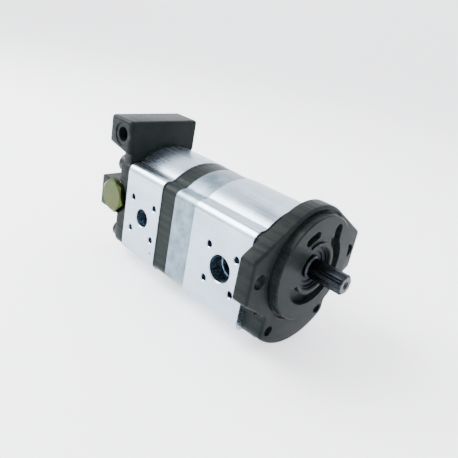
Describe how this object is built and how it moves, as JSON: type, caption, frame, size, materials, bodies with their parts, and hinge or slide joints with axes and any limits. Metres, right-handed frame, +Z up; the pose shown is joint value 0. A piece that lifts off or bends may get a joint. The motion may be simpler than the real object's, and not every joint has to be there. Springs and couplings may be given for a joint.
{
  "type": "tandem gear pump",
  "caption": "Tandem external gear pump with a two-bolt pilot flange, splined shaft, side ports, flow divider block and relief valve",
  "frame": {"origin": "on the drive shaft's axis, in the flange's mounting face", "axes": "+X out of the shaft end, +Z up, driven gears below the drive gears, visible ports on -Y"},
  "size_m": [0.2361, 0.1254, 0.1268],
  "materials": {
    "black_casting": "black phosphate, satin",
    "body_aluminium": "satin",
    "shaft_steel": "hardened, dark, ground",
    "gear_steel": "ground",
    "bearing_aluminium": "machined",
    "bush_bronze": "lined",
    "seal_rubber": "matt",
    "plain_steel": "bright",
    "bolt_steel": "black oxide",
    "chromate_steel": "yellow chromate"
  },
  "bodies": {
    "casing": {"front_cover": "black_casting", "front_body": "body_aluminium", "coupling_housing": "body_aluminium", "middle_plate": "black_casting", "rear_body": "body_aluminium", "rear_cover": "black_casting", "shaft_seal_case": "plain_steel", "shaft_seal_lip": "seal_rubber", "shaft_seal_spring": "plain_steel", "seal_circlip": "plain_steel", "middle_seal": "seal_rubber", "section_seals": "seal_rubber", "dowel_pins": "plain_steel", "body_bolts": "bolt_steel", "bolt_washers": "plain_steel", "relief_plug": "chromate_steel", "relief_washer": "plain_steel", "relief_seat": "plain_steel", "relief_spring": "plain_steel", "flow_spring": "plain_steel", "flow_plug": "bolt_steel", "flow_plug_ring": "seal_rubber", "front_bearing_blocks": "bearing_aluminium", "front_balance_seals": "seal_rubber", "front_journal_bushes": "bush_bronze", "rear_bearing_blocks": "bearing_aluminium", "rear_balance_seals": "seal_rubber", "rear_journal_bushes": "bush_bronze"},
    "drive_line": {"drive_shaft": "shaft_steel", "coupling_sleeve": "plain_steel", "rear_drive_shaft": "gear_steel"},
    "front_driven": {"front_driven_gear": "gear_steel"},
    "rear_driven": {"rear_driven_gear": "gear_steel"},
    "relief_valve": {"relief_poppet": "plain_steel"},
    "flow_valve": {"flow_spool": "plain_steel"}
  },
  "joints": [
    {"name": "drive_spin", "type": "hinge", "parent": "casing", "child": "drive_line", "pos_m": [0, 0, 0], "axis": [1, 0, 0], "continuous": true},
    {"name": "front_driven_spin", "type": "hinge", "parent": "casing", "child": "front_driven", "pos_m": [-0.0446, 0, -0.03], "axis": [1, 0, 0], "continuous": true},
    {"name": "rear_driven_spin", "type": "hinge", "parent": "casing", "child": "rear_driven", "pos_m": [-0.1401, 0, -0.03], "axis": [1, 0, 0], "continuous": true},
    {"name": "relief_lift", "type": "slide", "parent": "casing", "child": "relief_valve", "axis": [0, -1, 0], "range_m": [0, 0.003], "stiffness_N_per_m": 8000, "springref_m": -0.003, "deforming": ["relief_spring"]},
    {"name": "flow_shift", "type": "slide", "parent": "casing", "child": "flow_valve", "axis": [0, 1, 0], "range_m": [0, 0.006], "stiffness_N_per_m": 4000, "springref_m": -0.002, "deforming": ["flow_spring"]}
  ],
  "couplings": [
    {"joint": "front_driven_spin", "follows": "drive_spin", "ratio": -1},
    {"joint": "rear_driven_spin", "follows": "drive_spin", "ratio": -1}
  ]
}
